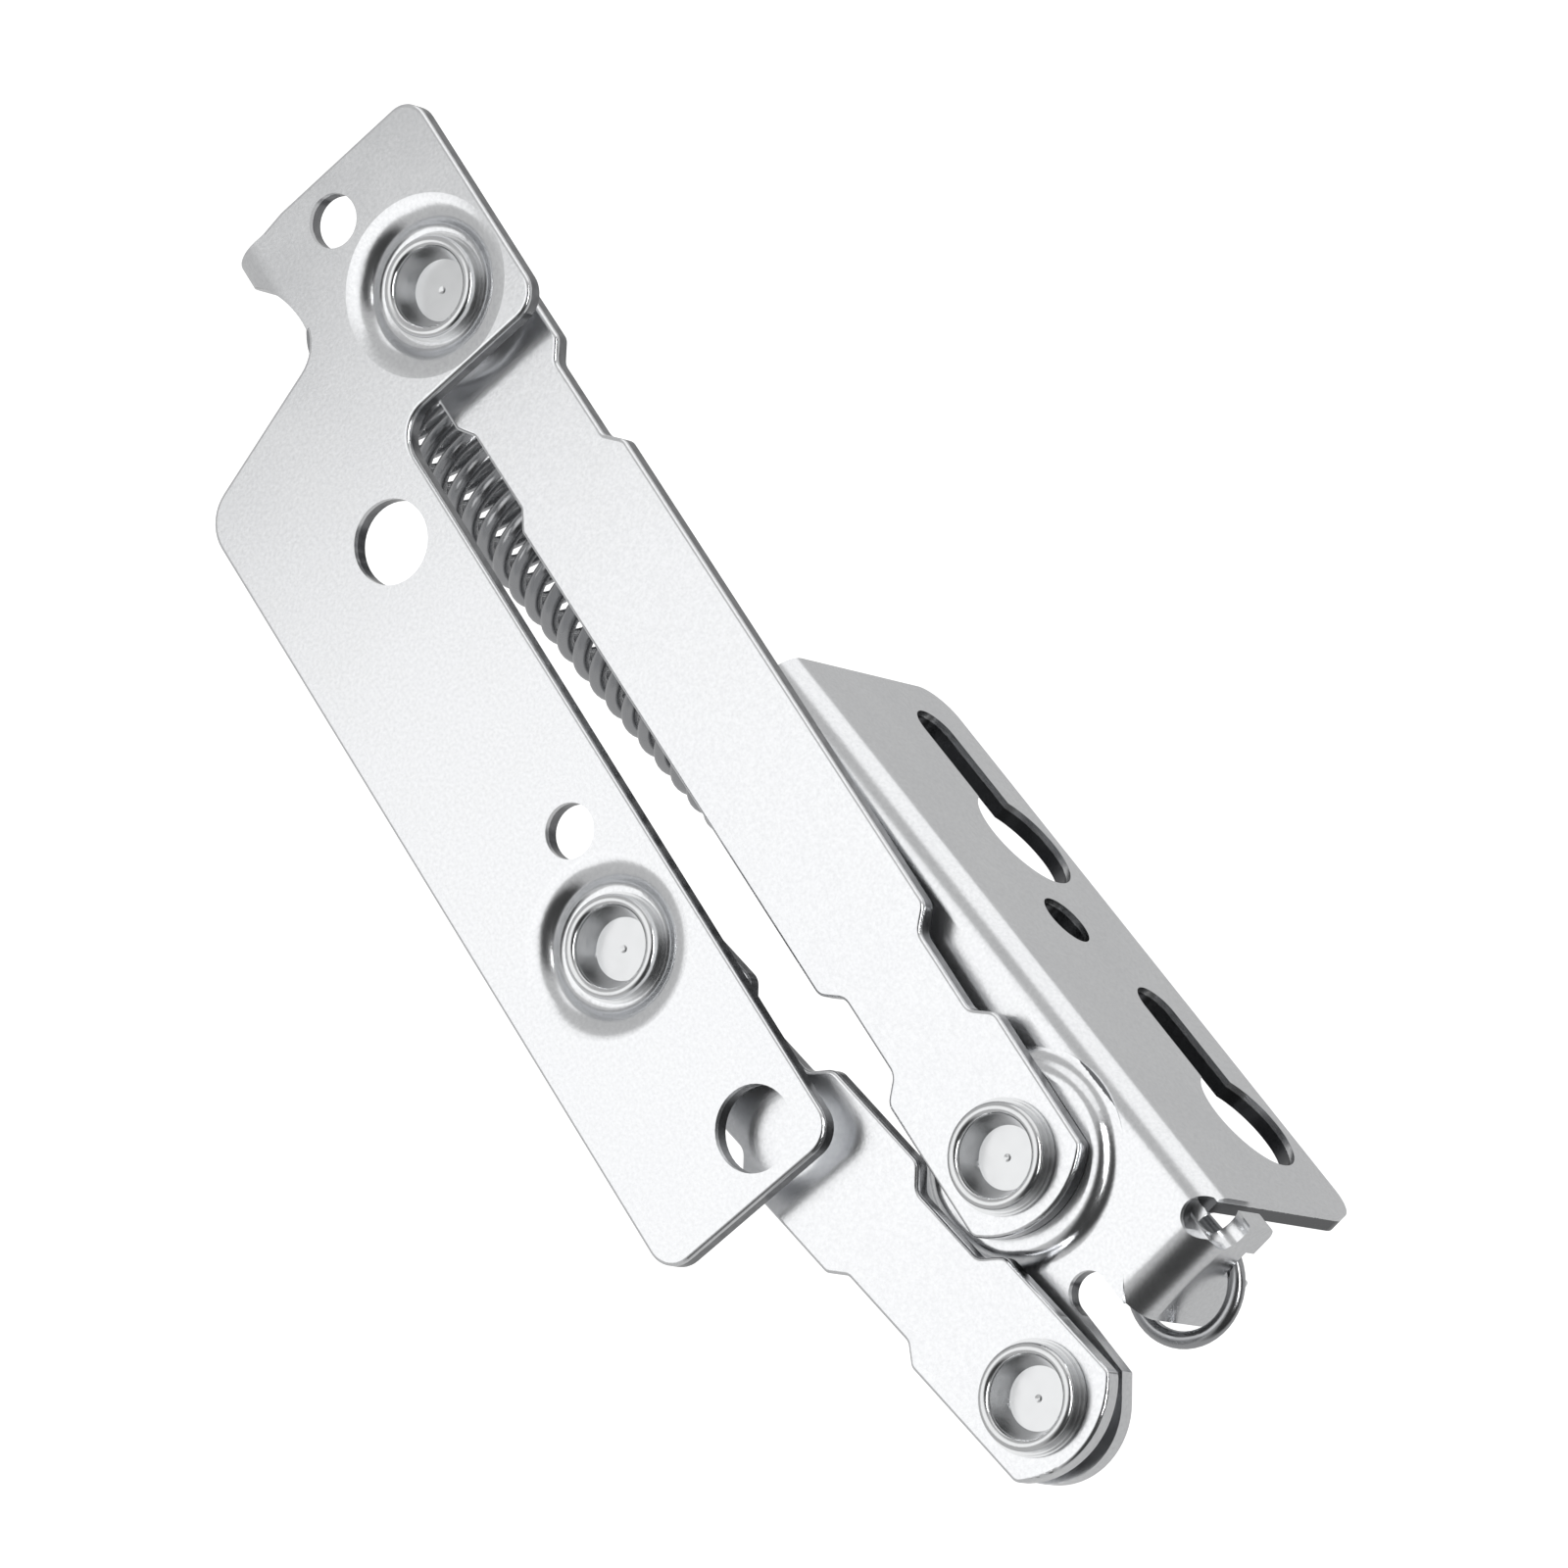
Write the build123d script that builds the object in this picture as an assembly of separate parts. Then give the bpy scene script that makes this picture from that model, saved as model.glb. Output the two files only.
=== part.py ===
from build123d import *
import math
import os

# A lift-up cabinet hinge: a cabinet plate, a long arm, a short link and a door bracket make a
# four-bar linkage, and a long extension spring hooks the bracket to the plate.
# All sizes are millimetres. The drawing frame has x outward to the door, y up the cabinet
# side and z from the cabinet side wall into the cabinet, with the origin at the centre of
# the lower large screw hole, in the face that lies on the wall.

# Sheet, layers and running fits
sheet = 1.5
dish_depth = 1.5
slide_gap = 0.1
pivot_play = 0.05
seat_play = 0.02
spring_seat_gap = 0.12
edge_round = 0.3

# Cabinet plate
plate_top = 59.4
plate_bottom = -26.9
strip_back = -12.1
strip_front = 5.15
block_front = 20.4
block_top = -6.8
heel_height = -11.8
heel_slope = -0.296
plate_corner = 2.3
block_corner = 2.0
heel_corner = 3.5
slant_corner = 3.5
inner_corner = 2.8
large_hole_radius = 3.25
large_hole_spacing = 55.0
small_hole_radius = 2.1
middle_hole_height = 27.5
block_hole_x = 9.7
block_hole_y = -23.3
dish_rim_radius = 7.0
dish_floor_radius = 4.3
dish_share = 0.25

# Spring tab of the plate
tab_face = 0.4
tab_bend_radius = 3.0
tab_root = 1.0
tab_width = 4.7
tab_inset = 0.4
tab_taper = 3.0
tab_depth = 16.5
tab_seat = 1.7
tab_seat_width = 1.8
neck_depth = 6.8
neck_width = 8.5
neck_curve_radius = 7.7
neck_curve_x = -4.46
neck_curve_y = -18.81

# Linkage
arm_foot_x = 13.2
arm_foot_y = -14.0
link_foot_x = -2.3
link_foot_y = 36.4
arm_length = 82.0
arm_lean = 0.55
bracket_lean = 5.7
crank_x = -9.31
crank_y = 14.75

# Arm and link strips
strip_width = 10.8
strip_tip = 5.4
strip_shoulder = 3.0
strip_corner = 0.9
notch_depth = 1.6
arm_notch_depth = 1.2
shallow_notch_depth = 0.95
link_notch_depth = 1.1
notch_start = 9.0
notch_end = 19.0
notch_slope = 1.5
notch_round = 1.2

# Rivets and washers
shank_radius = 3.0
flange_radius = 4.1
flange_height = 0.3
rim_radius = 3.9
rim_roll = 0.45
head_height = 1.25
recess_floor_radius = 2.35
recess_depth = 2.15
dimple_radius = 0.3
dimple_depth = 0.1
tail_radius = 3.9
tail_height = 0.95
tail_round = 0.4
head_washer_radius = 4.25
head_washer_thickness = 0.3
spacer_radius = 4.2
spacer_thickness = 1.05

# Door bracket, measured from the pivot that joins it to the arm
flange_face = 9.62
flange_low = -41.7
flange_high = 12.5
flange_edge_depth = 28.2
flange_corner = 3.0
fold_radius = 2.5
fold_root = 0.22
web_low = -40.0
web_inner = -0.68
web_inner_low = -33.0
web_neck = -9.0
pad_rise = 1.0
pad_top_radius = 6.3
pad_base_radius = 8.2
pad_land = 0.2
pad_recess_radius = 5.2
lobe_radius = 5.75
lobe_shift_x = -0.25
lobe_shift_y = 0.1
slot_width = 3.2
slot_bottom = 9.3
slot_reach = 12.0
relief_radius = 1.52
relief_x = 7.9
relief_y = 12.9

# Spring hook of the bracket
hook_side = -0.6
hook_root = 1.0
hook_bend_start = 11.76
hook_bend_radius = 3.0
hook_corner = 1.0
tongue_width = 4.88
tongue_tip = 16.5
wire_notch_width = 2.52
wire_notch_floor = 12.0
shoulder_side = 9.3
shoulder_far = 13.2
leg_relief_radius = 1.5
leg_relief_x = 8.2
leg_relief_depth = 8.1

# Door screw holes in the bracket's flange
keyhole_radius = 4.55
keyhole_slot_width = 4.35
keyhole_reach = 13.3
keyhole_high = 3.14
keyhole_spacing = 28.5
keyhole_inset = 5.7
door_hole_radius = 2.2
door_hole_height = -16.46
door_hole_inset = 9.7

# Extension spring
wire_diameter = 1.3
coil_radius = 3.9
loop_radius = 4.1
loop_side = 1.56
spring_depth = 12.8
coil_pairs = 22
loop_stem = 6.0
coil_exit_angle = 32.0
exit_reach = 2.2
loop_open_angle = 65.0
spring_hand = 1
gap_step = 0.4
gap_turns = 2

# Layers worked out from the sheet, listed from the wall inward
bar_front = dish_depth + sheet + slide_gap
bar_back = bar_front + sheet
pad_front = bar_back + slide_gap
web_front = pad_front + pad_rise
web_back = web_front + sheet

# Pivots worked out from the linkage
arm_foot = Vector(arm_foot_x, arm_foot_y)
link_foot = Vector(link_foot_x, link_foot_y)
arm_angle = math.radians(arm_lean)
arm_end = arm_foot + Vector(math.sin(arm_angle), math.cos(arm_angle)) * arm_length
bracket_frame = Pos(arm_end.X, arm_end.Y, 0) * Rot(0, 0, -bracket_lean)
link_end = (bracket_frame * Pos(crank_x, crank_y, 0)).position
link_span = link_end - link_foot
link_length = link_span.length
link_lean = math.degrees(math.atan2(link_span.X, link_span.Y))

# The shared frame has z up the cabinet side, -y outward to the door and +x to the side wall.
shared_frame = Plane(origin=(0, 0, 0), x_dir=(0, -1, 0), z_dir=(-1, 0, 0)).location


def polygon(points):
    """A face inside straight lines through the points."""
    return make_face(Polyline(*points, close=True))


def round_corners(face, wanted, radius):
    """Rounds the corners of a face that lie at the wanted points."""
    near = [
        corner
        for corner in face.vertices()
        if any((corner.center() - Vector(*point)).length < 0.01 for point in wanted)
    ]
    return fillet(near, radius)


def disc(radius, x=0.0, y=0.0):
    """A round face."""
    return Pos(x, y, 0) * Circle(radius)


def sheet_solid(face, front):
    """A sheet cut to a face, with the edges that look at the wall slightly rounded."""
    solid = extrude(Pos(0, 0, front) * face, sheet)
    front_edges = solid.faces().sort_by(Axis.Z)[0].outer_wire().edges()
    return fillet(front_edges, edge_round)


def drill(radius, low, high, x=0.0, y=0.0):
    """The round space of a hole from one depth to another."""
    return extrude(Pos(x, y, low) * Circle(radius), high - low)


def revolved(outline):
    """A solid of revolution about z from radius and depth points and edges."""
    return revolve(Plane.XZ * make_face(outline), Axis.Z)


def pressed_wall(inner_radius, inner_depth, outer_radius, outer_depth, share):
    """The smooth wall of a pressed form: two arcs, of which the inner takes the given share."""
    inner = Vector(inner_radius, inner_depth)
    outer = Vector(outer_radius, outer_depth)
    middle = inner + (outer - inner) * share
    return [
        Edge.make_tangent_arc(inner, Vector(1, 0), middle),
        Edge.make_tangent_arc(outer, Vector(-1, 0), middle),
    ]


def pressed_form(inner_radius, inner_depth, outer_radius, outer_depth, share=0.5):
    """The round space between a pressed floor and the level of its rim."""
    closing = Polyline(
        (outer_radius, outer_depth), (0, outer_depth), (0, inner_depth), (inner_radius, inner_depth)
    )
    wall = pressed_wall(inner_radius, inner_depth, outer_radius, outer_depth, share)
    return revolved(wall + closing.edges())


def bent_strip(flat, radius, angle, leg, width):
    """A strip that runs flat along x, then bends towards +y; it is as wide as given along z."""
    centre = Vector(flat, radius)
    inner_radius = radius - sheet

    def on_arc(arc_radius, degrees):
        turn = math.radians(degrees - 90)
        return centre + Vector(math.cos(turn), math.sin(turn)) * arc_radius

    heading = math.radians(angle)
    run = Vector(math.cos(heading), math.sin(heading)) * leg
    outer_end = on_arc(radius, angle)
    inner_end = on_arc(inner_radius, angle)
    outline = [
        Line((0, 0), (flat, 0)),
        ThreePointArc((flat, 0), on_arc(radius, angle / 2), outer_end),
        Polyline(outer_end, outer_end + run, inner_end + run, inner_end),
        ThreePointArc(inner_end, on_arc(inner_radius, angle / 2), (flat, sheet)),
        Polyline((flat, sheet), (0, sheet), (0, 0)),
    ]
    return extrude(make_face([edge for part in outline for edge in part.edges()]), width)


def plate_face():
    """The flat outline of the cabinet plate, without its spring tab."""
    crease = tab_face + tab_bend_radius
    heel = (strip_back, heel_height)
    slant_end = (crease, heel_height + heel_slope * (crease - strip_back))
    corners = [
        (crease, plate_bottom + tab_inset),
        (crease + tab_taper, plate_bottom),
        (block_front, plate_bottom),
        (block_front, block_top),
        (strip_front, block_top),
        (strip_front, plate_top),
        (strip_back, plate_top),
        heel,
        slant_end,
    ]
    face = polygon(corners)
    outside = [(block_front, block_top), (strip_front, plate_top), (strip_back, plate_top)]
    face = round_corners(face, outside, plate_corner)
    face = round_corners(face, [(block_front, plate_bottom)], block_corner)
    face = round_corners(face, [heel], heel_corner)
    face = round_corners(face, [(strip_front, block_top)], inner_corner)
    return round_corners(face, [slant_end], slant_corner)


def cabinet_plate():
    """The plate that is screwed to the side wall, with its two dishes and its spring tab."""
    plate = sheet_solid(plate_face(), 0)
    wall = Vector(dish_rim_radius - dish_floor_radius, dish_depth)
    both_bends = wall.dot(wall) / (2 * dish_depth)
    boss_share = dish_share + sheet / both_bends
    for foot in (arm_foot, link_foot):
        place = Pos(foot.X, foot.Y, 0)
        boss = pressed_form(
            dish_floor_radius, dish_depth + sheet, dish_rim_radius, sheet, boss_share
        )
        dish = pressed_form(dish_floor_radius, dish_depth, dish_rim_radius, 0, dish_share)
        plate = plate + place * boss - place * dish
        plate -= drill(shank_radius + seat_play, 0, bar_front, foot.X, foot.Y)
    for height in (0, large_hole_spacing):
        plate -= drill(large_hole_radius, 0, sheet, 0, height)
    plate -= drill(small_hole_radius, 0, sheet, 0, middle_hole_height)
    plate -= drill(small_hole_radius, 0, sheet, block_hole_x, block_hole_y)
    return plate + spring_tab()


def spring_tab():
    """The tab that bends back from the plate's corner, with a seat for one spring loop."""
    bottom = plate_bottom + tab_inset
    origin = (tab_face + tab_bend_radius + tab_root, bottom, 0)
    side = Plane(origin=origin, x_dir=(-1, 0, 0), z_dir=(0, 1, 0))
    neck_leg = neck_depth - tab_bend_radius
    neck = side.location * bent_strip(tab_root, tab_bend_radius, 90, neck_leg, neck_width)
    neck -= drill(neck_curve_radius, -sheet, neck_depth, neck_curve_x, neck_curve_y)
    leg = Pos(tab_face, bottom, neck_depth) * Box(
        sheet, tab_width, tab_depth - neck_depth, align=(Align.MIN, Align.MIN, Align.MIN)
    )
    leg = fillet(leg.edges().filter_by(Axis.X).sort_by(Axis.Z)[-2:], hook_corner)
    seat_height = tab_seat - tab_inset
    seat = Pos(tab_face + sheet / 2, bottom, spring_depth) * Box(
        2 * sheet, 2 * seat_height, tab_seat_width
    )
    return neck + leg - seat


def strip_face(length, notch_depths):
    """An arm or link outline along y from its foot pivot, with a waist notch at each corner."""
    half = strip_width / 2
    side = length + strip_shoulder
    outline = [
        Line((half, -strip_shoulder), (half, side)),
        ThreePointArc((half, side), (0, length + strip_tip), (-half, side)),
        Line((-half, side), (-half, -strip_shoulder)),
        ThreePointArc((-half, -strip_shoulder), (0, -strip_tip), (half, -strip_shoulder)),
    ]
    face = make_face(outline)
    places = [(1, False), (-1, False), (1, True), (-1, True)]
    for (hand, far), depth in zip(places, notch_depths):
        low, high = notch_start, notch_end
        if far:
            low, high = length - notch_end, length - notch_start
        floor = hand * (half - depth)
        edge = hand * half
        beyond = hand * (half + 1)
        corners = [
            (edge, low),
            (floor, low + notch_slope),
            (floor, high - notch_slope),
            (edge, high),
        ]
        face -= polygon([(beyond, low), *corners, (beyond, high)])
        face = round_corners(face, corners, notch_round * depth / notch_depth)
    ends = [(hand * half, y) for hand in (1, -1) for y in (-strip_shoulder, side)]
    return round_corners(face, ends, strip_corner)


def strip_solid(foot, length, lean, notch_depths):
    """An arm or link in its place, with a running fit for a rivet at each end."""
    face = strip_face(length, notch_depths)
    strip = sheet_solid(face, bar_front)
    for y in (0, length):
        strip -= drill(shank_radius + pivot_play, bar_front, bar_back, 0, y)
    return Pos(foot.X, foot.Y, 0) * Rot(0, 0, -lean) * strip


def web_face():
    """The flat of the bracket that lies behind the arm, up to the fold and the hook's bend."""
    fold = flange_face - fold_radius
    blade = polygon(
        [
            (fold, web_low),
            (fold, hook_bend_start),
            (hook_side, hook_bend_start),
            (web_inner, web_neck),
            (web_inner, web_inner_low),
        ]
    )
    land = disc(pad_base_radius + pad_land)
    lobe = disc(lobe_radius, crank_x + lobe_shift_x, crank_y + lobe_shift_y)
    bridge = make_hull(land.edges() + lobe.edges())
    slot_side = hook_side - slot_width / 2
    slot = disc(slot_width / 2, slot_side, slot_bottom + slot_width / 2)
    slot_mouth = Pos(slot_side, slot_bottom + slot_width / 2, 0) * Rectangle(
        slot_width, slot_reach, align=(Align.CENTER, Align.MIN)
    )
    return blade + (bridge + lobe - slot - slot_mouth)


def door_flange():
    """The folded flange that takes the door screws, with its fold beside the web."""
    length = flange_high - flange_low
    leg = flange_edge_depth - web_front - fold_radius
    flange = bent_strip(fold_root, fold_radius, 90, leg, length)
    flange = fillet(flange.edges().filter_by(Axis.X).sort_by(Axis.Y)[-2:], flange_corner)
    root = flange_face - fold_radius - fold_root
    side = Plane(origin=(root, flange_high, web_front), x_dir=(1, 0, 0), z_dir=(0, -1, 0))
    return side.location * flange


def keyhole():
    """A round screw-head hole whose narrow slot points down, drawn with the slot along -x."""
    reach = keyhole_reach - keyhole_slot_width / 2
    slot = Pos(-reach / 2, 0, 0) * SlotCenterToCenter(reach, keyhole_slot_width)
    return Circle(keyhole_radius) + slot


def hook_leg_face():
    """The flat of the hook's leg, drawn with x as on the bracket and y into the cabinet."""
    tongue_side = hook_side + tongue_width
    notch_side = tongue_side + wire_notch_width
    bend_end = web_front + hook_bend_radius
    corners = [
        (hook_side, bend_end),
        (shoulder_side, bend_end),
        (shoulder_side, shoulder_far),
        (notch_side, shoulder_far),
        (notch_side, wire_notch_floor),
        (tongue_side, wire_notch_floor),
        (tongue_side, tongue_tip),
        (hook_side, tongue_tip),
    ]
    tips = [corners[index] for index in (2, 6, 7)]
    leg = round_corners(polygon(corners), tips, hook_corner)
    return leg - disc(leg_relief_radius, leg_relief_x, leg_relief_depth)


def spring_hook():
    """The top of the bracket that bends back: a tongue for the other loop, beside a shoulder."""
    width = flange_face - fold_radius - fold_root - hook_side
    bend = bent_strip(hook_root, hook_bend_radius, 90, hook_root, width)
    origin = (hook_side, hook_bend_start - hook_root, web_front)
    side = Plane(origin=origin, x_dir=(0, 1, 0), z_dir=(1, 0, 0))
    top = Plane(
        origin=(0, hook_bend_start + hook_bend_radius, 0), x_dir=(1, 0, 0), z_dir=(0, -1, 0)
    )
    relief = extrude(top.location * disc(leg_relief_radius, leg_relief_x, leg_relief_depth), sheet)
    return side.location * bend + extrude(top.location * hook_leg_face(), sheet) - relief


def door_bracket():
    """The bracket in its place: web, raised pad, folded flange and spring hook."""
    web = extrude(Pos(0, 0, web_front) * web_face(), sheet)
    bracket = web + door_flange() + spring_hook()
    pad = pressed_form(pad_top_radius, pad_front, pad_base_radius, web_front)
    recess = pressed_form(
        pad_recess_radius,
        pad_front + sheet,
        pad_recess_radius + pad_base_radius - pad_top_radius,
        web_back,
    )
    bracket = bracket + pad - recess
    bracket -= drill(shank_radius + seat_play, pad_front, web_back)
    bracket -= drill(shank_radius + seat_play, web_front, web_back, crank_x, crank_y)
    bracket -= drill(relief_radius, web_front, web_back, relief_x, relief_y)
    face = Plane(origin=(flange_face - sheet / 2, 0, 0), x_dir=(0, 1, 0), z_dir=(1, 0, 0))
    bracket -= extrude(face.location * door_holes(), sheet, both=True)
    return bracket_frame * bracket


def door_holes():
    """Two keyholes and a round hole, drawn on the flange with x up and y into the cabinet."""
    hole_depth = flange_edge_depth - door_hole_inset
    keyhole_depth = flange_edge_depth - keyhole_inset
    holes = Pos(door_hole_height, hole_depth, 0) * Circle(door_hole_radius)
    for index in range(2):
        holes += Pos(keyhole_high - index * keyhole_spacing, keyhole_depth, 0) * keyhole()
    return holes


def rivet_head(seat):
    """A rivet head that looks at the wall: a rolled rim round a cup sunk into the shank."""
    crest_radius = rim_radius - rim_roll
    inner_rim = crest_radius - rim_roll
    roll_base = head_height - rim_roll
    floor = head_height - recess_depth
    outline = [
        Polyline(
            (0, -sheet),
            (shank_radius, -sheet),
            (shank_radius, 0),
            (flange_radius, 0),
            (flange_radius, flange_height),
            (rim_radius, flange_height),
            (rim_radius, roll_base),
        ),
        ThreePointArc((rim_radius, roll_base), (crest_radius, head_height), (inner_rim, roll_base)),
        Polyline(
            (inner_rim, roll_base),
            (recess_floor_radius, floor),
            (dimple_radius, floor),
            (0, floor - dimple_depth),
            (0, -sheet),
        ),
    ]
    head = revolved([edge for part in outline for edge in part.edges()])
    return Pos(0, 0, seat) * Rot(180, 0, 0) * head


def rivet_tail(seat):
    """The clenched end of a rivet: a low round button on the far side."""
    tail = extrude(Circle(tail_radius), tail_height)
    return Pos(0, 0, seat) * fillet(tail.edges().sort_by(Axis.Z)[-1], tail_round)


def rivet(centre, head_seat, tail_seat):
    """A whole rivet at a pivot, from the seat of its head to the seat of its tail."""
    body = rivet_head(head_seat) + rivet_tail(tail_seat)
    body += drill(shank_radius, head_seat + sheet, tail_seat)
    return Pos(centre.X, centre.Y, 0) * body


def washer(centre, radius, front, thickness):
    """A plain washer on a rivet's shank."""
    ring = Circle(radius) - Circle(shank_radius + seat_play)
    return Pos(centre.X, centre.Y, front) * extrude(ring, thickness)


def biarc(start, start_heading, end, end_heading):
    """Two arcs in space that leave one point and reach another along the given headings."""
    chord = end - start
    both = start_heading + end_heading
    square = 2 * (start_heading.dot(end_heading) - 1)
    linear = -2 * chord.dot(both)
    constant = chord.dot(chord)
    if abs(square) < 1e-9:
        reach = -constant / linear
    else:
        root = math.sqrt(linear * linear - 4 * square * constant)
        reach = max((-linear - root) / (2 * square), (-linear + root) / (2 * square))
    middle = (start + end + (start_heading - end_heading) * reach) / 2
    return [
        Edge.make_tangent_arc(start, start_heading, middle),
        Edge.make_tangent_arc(end, end_heading * -1, middle),
    ]


def coil_state(turns, pitch):
    """The wire's place and heading, this many turns from the middle of the coil."""
    angle = math.radians(90 + 360 * turns)
    place = Vector(pitch * turns, coil_radius * math.cos(angle), coil_radius * math.sin(angle))
    advance = pitch / (2 * math.pi)
    heading = Vector(advance, -coil_radius * math.sin(angle), coil_radius * math.cos(angle))
    return place, heading.normalized()


def loop_state(centre, degrees):
    """The wire's place and heading on the loop, in the plane that the loop and axis share."""
    angle = math.radians(degrees)
    radial = Vector(math.cos(angle), math.sin(angle), 0)
    return Vector(centre, 0, 0) + radial * loop_radius, Vector(-radial.Y, radial.X, 0)


def half_spring_states(span):
    """The states from the middle of the coil out to the end of one loop."""
    half_turns = coil_pairs + (90 - coil_exit_angle) / 360
    coil_end = span / 2 - loop_stem
    pitch = coil_end / half_turns
    quarters = int(4 * half_turns)
    states = [coil_state(index / 4, pitch) for index in range(quarters + 1)]
    states.append(coil_state(half_turns, pitch))
    states.append((Vector(coil_end + exit_reach, -loop_radius, 0), Vector(1, 0, 0)))
    loop_end = 270 - loop_open_angle
    steps = 4
    for index in range(steps + 1):
        states.append(loop_state(span / 2, -90 + (90 + loop_end) * index / steps))
    return states


def spring_states(span):
    """The states of the whole wire from one loop's end to the other's."""
    outward = half_spring_states(span)
    mirrored = [
        (Vector(-place.X, -place.Y, place.Z), Vector(heading.X, heading.Y, -heading.Z))
        for place, heading in outward[1:]
    ]
    states = list(reversed(mirrored)) + outward
    return [
        (Vector(p.X, spring_hand * p.Y, p.Z), Vector(h.X, spring_hand * h.Y, h.Z).normalized())
        for p, h in states
    ]


def wire_path(states):
    """The wire's centre line: a straight run where two headings agree, biarcs elsewhere."""
    edges = []
    for (start, out), (end, into) in zip(states, states[1:]):
        chord = end - start
        if out.dot(into) > 0.999999 and out.dot(chord.normalized()) > 0.999999:
            edges.append(Edge.make_line(start, end))
        else:
            edges += biarc(start, out, end, into)
    return edges


def least_wire_gap(edges):
    """The least distance between the wire's surfaces, on points more than half a turn apart."""
    samples = []
    travelled = 0.0
    for edge in edges:
        count = max(2, int(edge.length / gap_step))
        for index in range(count):
            samples.append((travelled + edge.length * index / count, edge @ (index / count)))
        travelled += edge.length
    half_turn = math.pi * coil_radius
    gap = math.inf
    for index, (place, point) in enumerate(samples):
        for other_place, other in samples[index + 1 :]:
            if other_place - place < half_turn:
                continue
            apart = other_place - place > 2 * gap_turns * half_turn
            if apart and abs(point.X - other.X) > 2 * coil_radius:
                continue
            gap = min(gap, (point - other).length)
    return gap - wire_diameter


def spring_ends():
    """The centres of the two loops, each seated against the tongue that carries it."""
    inner_radius = loop_radius - wire_diameter / 2
    low_seat = math.sqrt(inner_radius**2 - (sheet / 2) ** 2) - spring_seat_gap
    tongue_reach = hook_side + tongue_width - loop_side
    high_seat = math.sqrt(inner_radius**2 - tongue_reach**2) - spring_seat_gap
    high_local = Pos(loop_side, hook_bend_start + hook_bend_radius - high_seat, 0)
    high = (bracket_frame * high_local).position
    low = Vector(tab_face + sheet / 2, plate_bottom + tab_seat)
    low += (high - low).normalized() * low_seat
    return low, high


def tension_spring():
    """The extension spring with a full loop at each end."""
    low, high = spring_ends()
    span = (high - low).length
    edges = wire_path(spring_states(span))
    print("spring: least gap between its turns", round(least_wire_gap(edges), 3), "mm")
    path = Wire(edges)
    start_plane = Plane(origin=path @ 0, z_dir=path % 0)
    wire = sweep(start_plane * Circle(wire_diameter / 2), path=path)
    middle = (low + high) / 2
    lean = math.degrees(math.atan2(high.Y - low.Y, high.X - low.X))
    print("spring: span", round(span, 3), "mm, lean", round(90 - lean, 3), "degrees")
    return Pos(middle.X, middle.Y, spring_depth) * Rot(0, 0, lean) * wire


def put(name, solid):
    """Writes one piece to its own file, in the shared frame."""
    export_step(shared_frame * solid, f"parts/{name}.step")


def main():
    os.makedirs("parts", exist_ok=True)
    dish_floor = dish_depth
    bar_head_seat = bar_front - pivot_play - head_washer_thickness
    put("cabinet_plate", cabinet_plate())
    arm_notches = (arm_notch_depth, shallow_notch_depth, notch_depth, notch_depth)
    put("long_arm", strip_solid(arm_foot, arm_length, arm_lean, arm_notches))
    link_notches = (notch_depth, notch_depth, notch_depth, link_notch_depth)
    put("short_link", strip_solid(link_foot, link_length, link_lean, link_notches))
    put("door_bracket", door_bracket())
    put("arm_plate_rivet", rivet(arm_foot, dish_floor, bar_back + pivot_play))
    put("link_plate_rivet_head", Pos(link_foot.X, link_foot.Y, 0) * rivet_head(dish_floor))
    tail_half = rivet_tail(bar_back) + drill(shank_radius, bar_front, bar_back)
    put("link_plate_rivet_tail", Pos(link_foot.X, link_foot.Y, 0) * tail_half)
    put("arm_bracket_rivet", rivet(arm_end, bar_head_seat, pad_front + sheet))
    put("link_bracket_rivet", rivet(link_end, bar_head_seat, web_back))
    put(
        "arm_bracket_washer",
        washer(arm_end, head_washer_radius, bar_head_seat, head_washer_thickness),
    )
    put(
        "link_bracket_washer",
        washer(link_end, head_washer_radius, bar_head_seat, head_washer_thickness),
    )
    put(
        "link_bracket_spacer",
        washer(link_end, spacer_radius, web_front - spacer_thickness, spacer_thickness),
    )
    put("tension_spring", tension_spring())
    print("link length", round(link_length, 3), "lean", round(link_lean, 3))
    print("arm end", arm_end, "link end", link_end, "spring ends", spring_ends())


if __name__ == "__main__":
    main()
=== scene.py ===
# %% [markdown]
# This lesson dresses a lift-up cabinet hinge for a product picture. The real hinge is four
# pieces of stamped zinc-plated sheet, four rivets, three washers and one long spring. The CAD
# frame already holds their exact shapes, so the script loads it and only adds finishes, a
# smoother spring, a camera and studio light.

# %% Load the frame
import bpy
import math
from mathutils import Matrix, Vector


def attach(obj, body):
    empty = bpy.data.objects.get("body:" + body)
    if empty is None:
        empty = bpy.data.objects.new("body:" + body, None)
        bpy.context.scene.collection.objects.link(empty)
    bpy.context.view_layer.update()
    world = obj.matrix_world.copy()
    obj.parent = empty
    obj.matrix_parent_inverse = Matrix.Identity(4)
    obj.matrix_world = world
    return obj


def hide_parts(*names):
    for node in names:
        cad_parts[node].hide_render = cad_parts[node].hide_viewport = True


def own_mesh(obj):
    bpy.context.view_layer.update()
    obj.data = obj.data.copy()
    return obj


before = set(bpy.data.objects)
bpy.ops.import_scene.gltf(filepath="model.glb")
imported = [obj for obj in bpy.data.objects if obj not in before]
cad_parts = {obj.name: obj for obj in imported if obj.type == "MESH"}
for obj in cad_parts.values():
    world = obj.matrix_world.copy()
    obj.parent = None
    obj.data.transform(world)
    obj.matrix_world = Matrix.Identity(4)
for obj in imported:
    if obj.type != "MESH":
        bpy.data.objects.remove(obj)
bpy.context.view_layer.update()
print("CAD nodes:", sorted(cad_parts))

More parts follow.
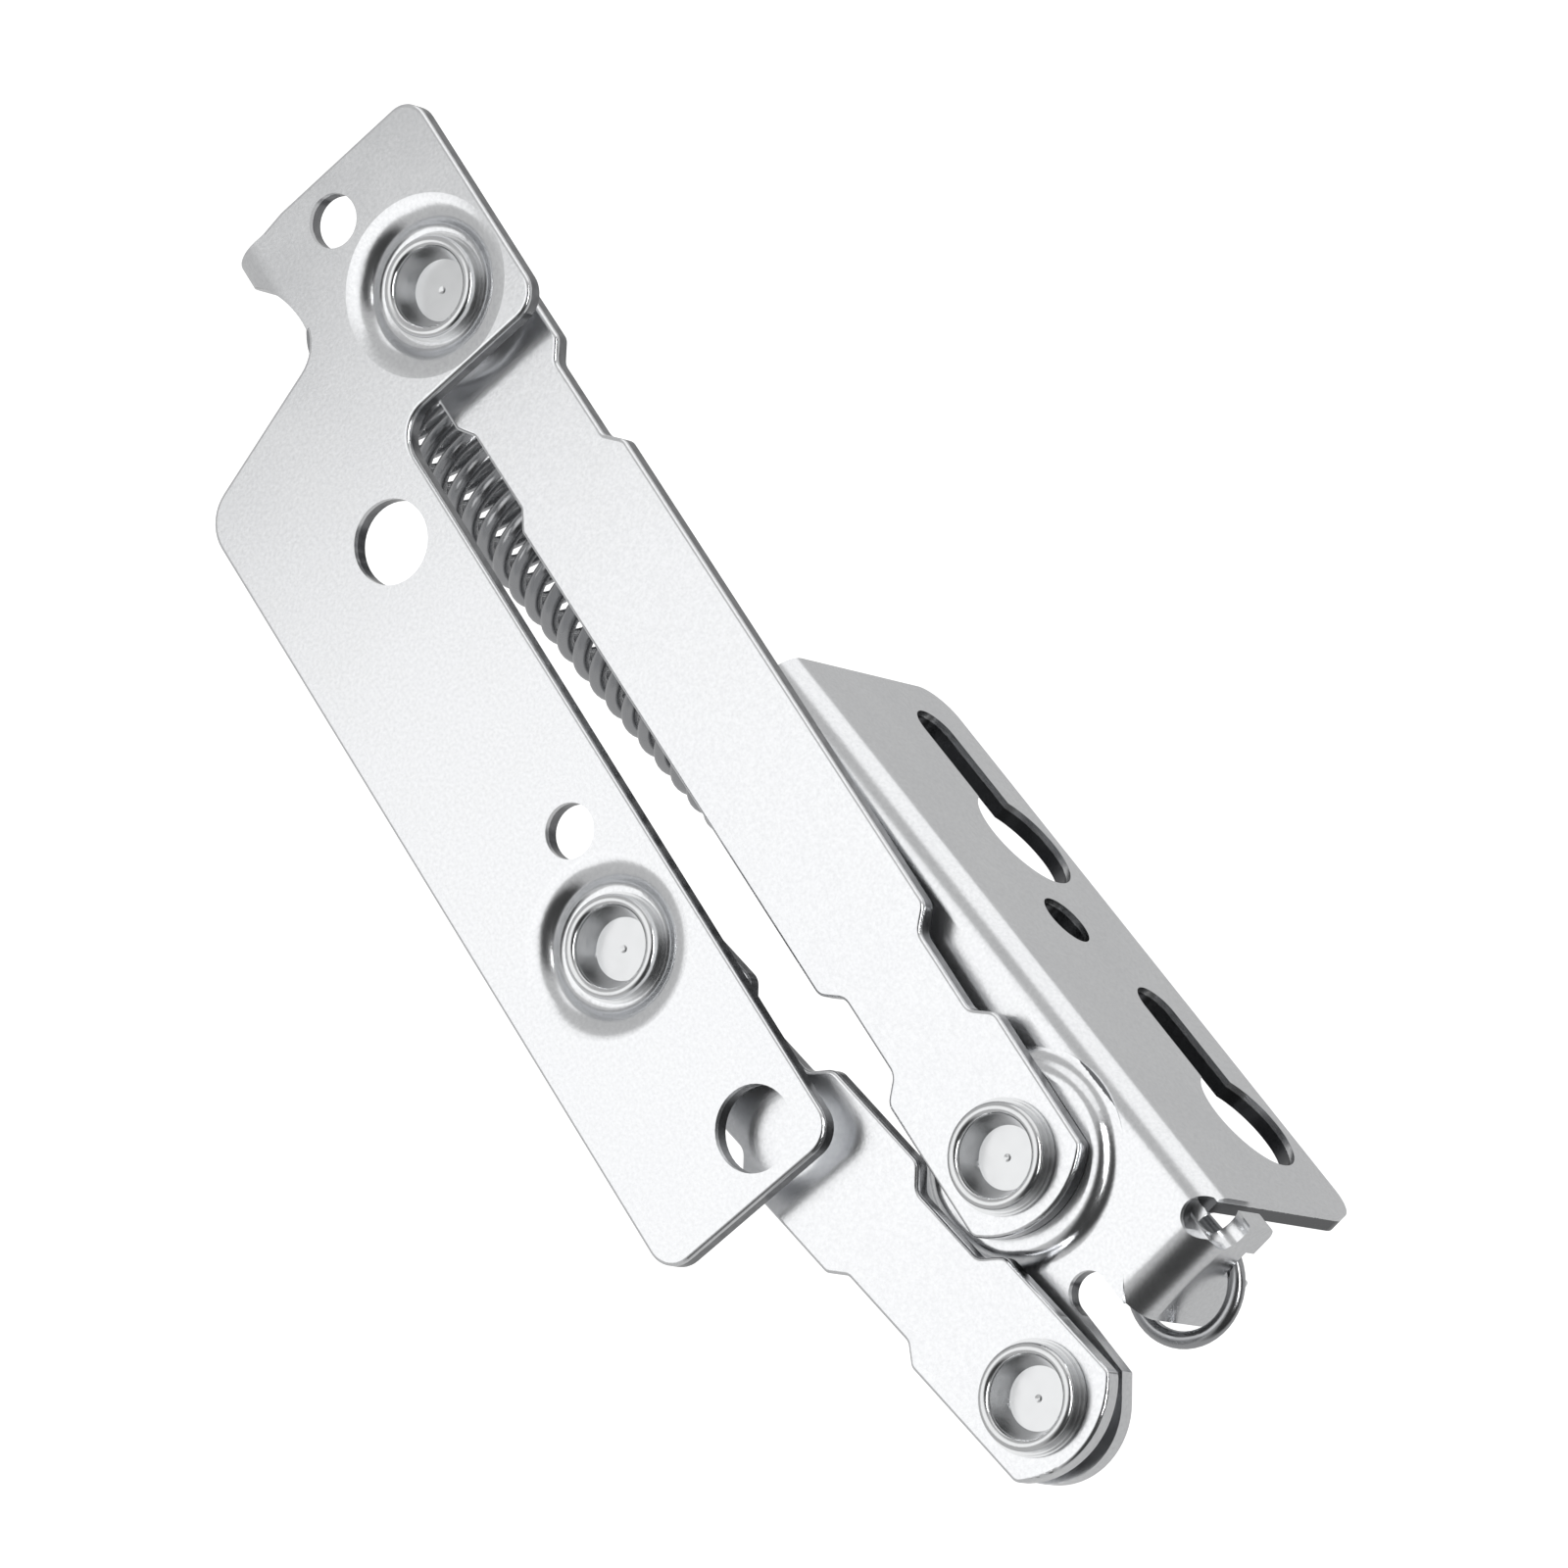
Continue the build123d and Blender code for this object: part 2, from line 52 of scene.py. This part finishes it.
# %% [markdown]
# Every colour is chosen on screen as an sRGB hex value, but Blender's shaders work in linear
# light. One function turns the first into the second. A second small function adds a shader
# node, sets its values and links its inputs, which keeps each material to a few lines. A third
# folds a list of values into one, and a fourth clears the selection before an operator runs.

# %% Colours and shader nodes
MM = 0.001


def linear(hex_colour):
    """Turns an sRGB hex colour into linear red, green, blue and alpha."""
    parts = [int(hex_colour[i : i + 2], 16) / 255 for i in (0, 2, 4)]
    curve = [p / 12.92 if p <= 0.04045 else ((p + 0.055) / 1.055) ** 2.4 for p in parts]
    return (*curve, 1.0)


def add_node(tree, kind, links=None, values=None, **settings):
    """Adds a node, sets its settings and socket values, and links its inputs."""
    node = tree.nodes.new(kind)
    for name, value in settings.items():
        setattr(node, name, value)
    for socket, value in (values or {}).items():
        node.inputs[socket].default_value = value
    for socket, source in (links or {}).items():
        tree.links.new(source, node.inputs[socket])
    return node


def total(tree, outputs, operation="ADD"):
    """Folds a list of values into one."""
    result = outputs[0]
    for output in outputs[1:]:
        both = {0: result, 1: output}
        result = add_node(tree, "ShaderNodeMath", both, operation=operation).outputs[0]
    return result


def deselect_all():
    """Clears the selection, because an operator acts on all that is selected."""
    bpy.ops.object.select_all(action="DESELECT")


# %% [markdown]
# The sheet pieces are cold-rolled steel, stamped and bent, then electroplated with bright zinc
# and clear passivated. Rolling leaves a fine matte grain and the barrel plating a faint cloud,
# so the surface mirrors only softly. The die cuts the first third of a sheared edge smooth and
# tears the rest, which stays dull and blotchy. On the flange's cut edges and punched keyholes
# the torn band is painted evenly dark: a painted dark reflection of the room that those walls
# mirror. The real grain is finer than a pixel of the picture and is drawn coarser, so that it
# shows at all.

# %% Zinc-plated sheet
GRAIN_SIZE = 0.3 * MM
CLOUD_SIZE = 6.0 * MM
BLOTCH_SIZE = 0.9 * MM
GRAIN_DEPTH = 0.01 * MM
GRAIN_STRENGTH = 0.5
PORE_SHARE = 0.22
SMOOTHEST = 0.2
ROUGHEST = 0.25
CUT_SHARE = 0.35
CUT_WAVER = 0.2 * MM
SHEET = 1.5 * MM
ZINC = "EEEFF0"
ZINC_CLOUD = "E4E5E7"
ZINC_PORE = "B4B5B8"
TORN = "A2A3A5"
# Colour of the dark blotches on every torn edge, and on the flange's torn edges a painted dark
# reflection
TORN_DARK_AND_PAINTED_REFLECTION = "5C5D5F"
# Where the sheets' flats face, and how far out their visible sides lie
WALL_SIDE = Vector((1, 0, 0))
DOOR_SIDE = Vector((0, -0.995056, -0.09932))
PLATE_LEVEL = 0.0
BAR_LEVEL = -3.1 * MM
WEB_LEVEL = -5.7 * MM
FLANGE_LEVEL = 16.784 * MM
HOOK_HEIGHT = 79.9 * MM


def mix_colour(tree, factor, first, second):
    """Blends two colours; each is a node's output or a colour."""
    blend = add_node(tree, "ShaderNodeMix", {0: factor}, data_type="RGBA")
    for socket, colour in ((6, first), (7, second)):
        if isinstance(colour, tuple):
            blend.inputs[socket].default_value = colour
        else:
            tree.links.new(colour, blend.inputs[socket])
    return blend.outputs[2]


def torn_and_painted_band(tree, place, waver, toward, surface):
    """Is 1 on the torn part of a flat's sheared edges below the spring hook, and 0 elsewhere. On the
    flange it places a painted dark reflection.
    """
    facing = add_node(
        tree, "ShaderNodeVectorMath", {0: place.outputs["Normal"]}, {1: toward},
        operation="DOT_PRODUCT",
    )
    turned = add_node(tree, "ShaderNodeMath", {0: facing.outputs["Value"]}, operation="ABSOLUTE")
    edge = add_node(
        tree, "ShaderNodeMapRange", {"Value": turned.outputs[0]},
        {"From Min": 0.1, "From Max": 0.3, "To Min": 1.0, "To Max": 0.0},
    )
    level = add_node(
        tree, "ShaderNodeVectorMath", {0: place.outputs["Object"]}, {1: toward},
        operation="DOT_PRODUCT",
    )
    wavy_level = add_node(
        tree, "ShaderNodeMath", {0: waver, 2: level.outputs["Value"]}, {1: CUT_WAVER},
        operation="MULTIPLY_ADD",
    )
    middle = surface + CUT_WAVER / 2 - (1 + CUT_SHARE) / 2 * SHEET
    half_band = (1 - CUT_SHARE) / 2 * SHEET + CUT_WAVER / 4
    torn = add_node(
        tree, "ShaderNodeMath", {0: wavy_level.outputs[0]}, {1: middle, 2: half_band},
        operation="COMPARE",
    )
    height = add_node(tree, "ShaderNodeSeparateXYZ", {0: place.outputs["Object"]})
    below = add_node(
        tree, "ShaderNodeMath", {0: height.outputs["Z"]}, {1: HOOK_HEIGHT}, operation="LESS_THAN"
    )
    return total(tree, [edge.outputs["Result"], torn.outputs[0], below.outputs[0]], "MULTIPLY")


def zinc_sheet(name, flats):
    """Bright zinc; flats say where each flat faces, how far out it is and its torn colour, which on
    the flange is a painted dark reflection.
    """
    material = bpy.data.materials.new(name)
    material.use_nodes = True
    tree = material.node_tree
    tree.nodes.clear()
    place = add_node(tree, "ShaderNodeTexCoord")
    cloud = add_node(
        tree, "ShaderNodeTexNoise", {"Vector": place.outputs["Object"]},
        {"Scale": 1 / CLOUD_SIZE, "Detail": 3.0, "Roughness": 0.6},
    )
    grain = add_node(
        tree, "ShaderNodeTexNoise", {"Vector": place.outputs["Object"]},
        {"Scale": 1 / GRAIN_SIZE, "Detail": 3.0, "Roughness": 0.65},
    )
    pores = add_node(
        tree, "ShaderNodeMapRange", {"Value": grain.outputs["Fac"]},
        {"From Min": 0.35, "From Max": 0.7, "To Min": 0.0, "To Max": PORE_SHARE},
    )
    zinc = mix_colour(tree, cloud.outputs["Fac"], linear(ZINC_CLOUD), linear(ZINC))
    grained = mix_colour(tree, pores.outputs["Result"], zinc, linear(ZINC_PORE))
    blotch = add_node(
        tree, "ShaderNodeTexNoise", {"Vector": place.outputs["Object"]},
        {"Scale": 1 / BLOTCH_SIZE, "Detail": 3.0},
    )
    colour = grained
    # Torn bands of the sheared edges; the flange's band carries a painted dark reflection
    for toward, surface, torn_and_reflection_hex in flats:
        torn_and_reflection_colour = mix_colour(tree, blotch.outputs["Fac"], linear(torn_and_reflection_hex), linear(TORN_DARK_AND_PAINTED_REFLECTION))
        mask = torn_and_painted_band(tree, place, grain.outputs["Fac"], toward, surface)
        colour = mix_colour(tree, mask, colour, torn_and_reflection_colour)
    rough = add_node(
        tree, "ShaderNodeMapRange", {"Value": cloud.outputs["Fac"]},
        {"From Min": 0.3, "From Max": 0.7, "To Min": SMOOTHEST, "To Max": ROUGHEST},
    )
    bump = add_node(
        tree, "ShaderNodeBump", {"Height": grain.outputs["Fac"]},
        {"Strength": GRAIN_STRENGTH, "Distance": GRAIN_DEPTH},
    )
    metal = add_node(
        tree, "ShaderNodeBsdfPrincipled",
        {
            "Base Color": colour, "Roughness": rough.outputs["Result"],
            "Normal": bump.outputs["Normal"],
        },
        {"Metallic": 1.0},
    )
    add_node(tree, "ShaderNodeOutputMaterial", {"Surface": metal.outputs["BSDF"]})
    return material


SHEET_FLATS = {
    "cabinet_plate": [(WALL_SIDE, PLATE_LEVEL, TORN)],
    "long_arm": [(WALL_SIDE, BAR_LEVEL, TORN)],
    "short_link": [(WALL_SIDE, BAR_LEVEL, TORN)],
    # The flange's torn edges and keyholes get an even painted dark reflection of the room
    "door_bracket": [(WALL_SIDE, WEB_LEVEL, TORN), (DOOR_SIDE, FLANGE_LEVEL, TORN_DARK_AND_PAINTED_REFLECTION)],
}
for node_name, flats in SHEET_FLATS.items():
    finish = zinc_sheet(f"bright zinc on the stamped {node_name}", flats)
    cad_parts[node_name].data.materials.clear()
    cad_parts[node_name].data.materials.append(finish)
print("sheet pieces finished:", len(SHEET_FLATS))

# %% [markdown]
# Rivets and washers are small pressed pieces, tumbled and plated with the same zinc. The dies
# that form a rivet's rim are polished, so its roll and its cup show no grain, only the faint
# unevenness of tumbling, and mirror the room in softly bent streaks.

# %% Tumbled rivet steel
TUMBLE_SIZE = 1.2 * MM
TUMBLE_DEPTH = 0.02 * MM


def pressed_metal(name, hex_colour, roughness, tumble):
    """A smooth pressed metal with a faint unevenness of the given strength."""
    material = bpy.data.materials.new(name)
    material.use_nodes = True
    tree = material.node_tree
    tree.nodes.clear()
    place = add_node(tree, "ShaderNodeTexCoord")
    waves = add_node(
        tree, "ShaderNodeTexNoise", {"Vector": place.outputs["Object"]},
        {"Scale": 1 / TUMBLE_SIZE, "Detail": 2.0},
    )
    rough = add_node(
        tree, "ShaderNodeMapRange", {"Value": waves.outputs["Fac"]},
        {"From Min": 0.3, "From Max": 0.7, "To Min": roughness * 0.85, "To Max": roughness * 1.2},
    )
    bump = add_node(
        tree, "ShaderNodeBump", {"Height": waves.outputs["Fac"]},
        {"Strength": tumble, "Distance": TUMBLE_DEPTH},
    )
    metal = add_node(
        tree, "ShaderNodeBsdfPrincipled",
        {"Roughness": rough.outputs["Result"], "Normal": bump.outputs["Normal"]},
        {"Metallic": 1.0, "Base Color": linear(hex_colour)},
    )
    add_node(tree, "ShaderNodeOutputMaterial", {"Surface": metal.outputs["BSDF"]})
    return material


rivet_steel = pressed_metal("tumbled and zinc-plated rivet steel", "D8D9DA", 0.22, 0.15)
for node_name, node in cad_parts.items():
    if "rivet" in node_name or "washer" in node_name or "spacer" in node_name:
        node.data.materials.clear()
        node.data.materials.append(rivet_steel)
print("rivets, washers and spacer finished with:", rivet_steel.name)

# %% [markdown]
# The spring is drawn wire, wound cold and plated. Drawing leaves it smooth and bright, and in
# the shade behind the plate it looks almost black between its streaks of light. It also gets
# shorter as the door lifts, which a rigid piece can't do. A copy of the CAD coil is merged
# into one smooth tube and rides on the spring's body.

# %% Spring
spring_wire = pressed_metal("drawn and zinc-plated spring wire", "B0B1B3", 0.24, 0.05)
SAME_POINT = 0.002 * MM
SMOOTH_ANGLE = math.radians(40)

cad_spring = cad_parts["tension_spring"]
deselect_all()
cad_spring.select_set(True)
bpy.context.view_layer.objects.active = cad_spring
bpy.ops.object.duplicate()
spring = bpy.context.view_layer.objects.active
spring.name = "spring_coil"
bpy.ops.object.mode_set(mode="EDIT")
bpy.ops.mesh.select_all(action="SELECT")
bpy.ops.mesh.remove_doubles(threshold=SAME_POINT)
bpy.ops.object.mode_set(mode="OBJECT")
bpy.ops.object.shade_smooth_by_angle(angle=SMOOTH_ANGLE)
spring.data.materials.clear()
spring.data.materials.append(spring_wire)
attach(spring, "spring_body")
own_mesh(spring)
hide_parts("tension_spring")
print("spring faces:", len(spring.data.polygons))

# %% [markdown]
# The picture was taken from far away with a long lens, from the side that lies on the cabinet
# wall, and the hinge hangs almost upside down in it. The camera is placed by the point that it
# aims at, its distance, the direction it looks from and how far it is rolled. Its focal length
# follows from how large the screw-hole spacing is in the picture.

# %% Camera
AIM = Vector((0, -16.24, 36.04)) * MM
DISTANCE = 735.24 * MM
AZIMUTH = math.radians(-21.840)
ELEVATION = math.radians(23.292)
ROLL = math.radians(-147.779)
FOCAL_SHARE = 6.5

outlook = Vector(
    (
        math.cos(ELEVATION) * math.cos(AZIMUTH),
        math.cos(ELEVATION) * math.sin(AZIMUTH),
        math.sin(ELEVATION),
    )
)
lens_data = bpy.data.cameras.new("camera")
lens_data.sensor_width = 36
lens_data.lens = FOCAL_SHARE * lens_data.sensor_width
lens_data.clip_start = 0.01
camera = bpy.data.objects.new("camera", lens_data)
bpy.context.scene.collection.objects.link(camera)
upright = outlook.to_track_quat("Z", "Y").to_matrix()
camera.matrix_world = Matrix.Translation(AIM + outlook * DISTANCE) @ (
    upright @ Matrix.Rotation(-ROLL, 3, "Z")
).to_4x4()
bpy.context.scene.camera = camera
print("lens:", lens_data.lens, "mm, at", [round(part, 3) for part in camera.matrix_world.translation])

# %% [markdown]
# A metal shows what stands around it. This room is an even light grey, which the flange and
# the hook mirror. Its folds mirror a bright zone beside the door, and a dark zone above the
# camera gives the dishes, the rivets and the spring wire their contrast. Each zone is a smooth
# change of level around one direction. The camera sees the backdrop plain white, and mirrored
# rays see the zones on it.

# %% Studio room
ROOM_GREY = 0.56
SOFT_FILL = 0.6
DARKEST = 0.04
BRIGHT_SIDE = (-0.13, -0.84, -0.52)
BRIGHTER = 0.58
DARK_SIDE = (0.35, -0.45, 0.82)
DARKER = -0.56

world = bpy.data.worlds.new("studio room")
bpy.context.scene.world = world
bpy.context.scene.view_settings.view_transform = "Standard"
world.use_nodes = True
room = world.node_tree
room.nodes.clear()
ray = add_node(room, "ShaderNodeLightPath")
direction = add_node(room, "ShaderNodeTexCoord")


def zone(toward, start, full, change):
    """A change of the room's level: none up to start, all of it from full towards its centre."""
    facing = add_node(
        room, "ShaderNodeVectorMath", {0: direction.outputs["Generated"]},
        {1: Vector(toward).normalized()}, operation="DOT_PRODUCT",
    )
    share = add_node(
        room, "ShaderNodeMapRange", {"Value": facing.outputs["Value"]},
        {"From Min": start, "From Max": full, "To Min": 0.0, "To Max": change},
        interpolation_type="SMOOTHSTEP",
    )
    return share.outputs["Result"]


grey = add_node(room, "ShaderNodeValue")
grey.outputs[0].default_value = ROOM_GREY
zones = [
    grey.outputs[0],
    zone(BRIGHT_SIDE, 0.79, 0.9, BRIGHTER),
    zone(DARK_SIDE, 0.42, 0.74, DARKER),
]
level = add_node(
    room, "ShaderNodeMath", {0: total(room, zones)}, {1: DARKEST}, operation="MAXIMUM"
)
seen_level = add_node(
    room, "ShaderNodeMath", {0: level.outputs[0], 1: ray.outputs["Is Camera Ray"]},
    operation="MAXIMUM",
)
backdrop = add_node(
    room, "ShaderNodeBackground", {"Strength": seen_level.outputs[0]}, {"Color": (1, 1, 1, 1)}
)
fill = add_node(
    room, "ShaderNodeBackground", values={"Color": (1, 1, 1, 1), "Strength": SOFT_FILL}
)
direct_rays = [ray.outputs[f"Is {kind} Ray"] for kind in ("Camera", "Glossy", "Transmission")]
seen = add_node(
    room, "ShaderNodeMixShader",
    {0: total(room, direct_rays, "MAXIMUM"), 1: fill.outputs[0], 2: backdrop.outputs[0]},
)
add_node(room, "ShaderNodeOutputWorld", {"Surface": seen.outputs[0]})
print("room zones:", len(zones) - 1)

# %% [markdown]
# The floor is a plain white sheet well under the hinge, which hangs on its cabinet wall. Its
# paper takes the soft shadow of the hinge, and a share of its own light brings it up to white
# for the camera. Polished metal would mirror it as a hard horizon, so it leaves the mirrored
# room to the backdrop.

# %% Floor
FLOOR_SIZE = 3.0
FLOOR_DROP = 0.35
FLOOR_GLOW = 0.55
deselect_all()
bpy.ops.mesh.primitive_grid_add(x_subdivisions=4, y_subdivisions=4, size=FLOOR_SIZE)
floor = bpy.context.view_layer.objects.active
floor.name = "studio_floor"
floor.data.transform(Matrix.Translation((0, 0, -FLOOR_DROP)))
floor_paper = bpy.data.materials.new("matte white floor paper")
floor_paper.use_nodes = True
paper = floor_paper.node_tree
paper.nodes.clear()
paper_ray = add_node(paper, "ShaderNodeLightPath")
paper_rays = [paper_ray.outputs[f"Is {kind} Ray"] for kind in ("Camera", "Glossy", "Transmission")]
glow_level = add_node(
    paper, "ShaderNodeMath", {0: total(paper, paper_rays, "MAXIMUM")}, {1: FLOOR_GLOW},
    operation="MULTIPLY",
)
matte = add_node(paper, "ShaderNodeBsdfDiffuse", values={"Color": linear("FAFAFA")})
glow = add_node(
    paper, "ShaderNodeEmission", {"Strength": glow_level.outputs[0]}, {"Color": (1, 1, 1, 1)}
)
paper_sum = add_node(paper, "ShaderNodeAddShader", {0: matte.outputs[0], 1: glow.outputs[0]})
add_node(paper, "ShaderNodeOutputMaterial", {"Surface": paper_sum.outputs[0]})
floor.data.materials.append(floor_paper)
floor.visible_glossy = False

# %% [markdown]
# Two soft boxes finish the light. A soft box is an area lamp: the larger and nearer it is, the
# more of it a flat mirrors. The front one stands where the plate, the arm and the link mirror
# it, and its lower edge leaves the plate's block in the grey. A narrow one above draws the
# bright lines along bends and rolled rims. Sizes and places are in metres, power in watts.

# %% Soft boxes


def soft_box(name, place, aim, width, height, power):
    """An area lamp at a place, turned to an aim point."""
    data = bpy.data.lights.new(name, "AREA")
    data.shape = "RECTANGLE"
    data.size = width
    data.size_y = height
    data.energy = power
    lamp = bpy.data.objects.new(name, data)
    bpy.context.scene.collection.objects.link(lamp)
    turn = (Vector(place) - Vector(aim)).to_track_quat("Z", "Y")
    lamp.matrix_world = Matrix.Translation(place) @ turn.to_matrix().to_4x4()
    lamp.visible_camera = False
    return lamp


FRONT_PLACE = (0.303, 0.045, -0.0175)
STRIP_PLACE = (0.25, -0.75, 0.55)
soft_box("front_light", FRONT_PLACE, AIM, width=0.43, height=0.275, power=0.255)
soft_box("strip_light", STRIP_PLACE, AIM, width=0.15, height=0.9, power=4.0)
print("soft boxes:", [lamp.name for lamp in bpy.data.lights])
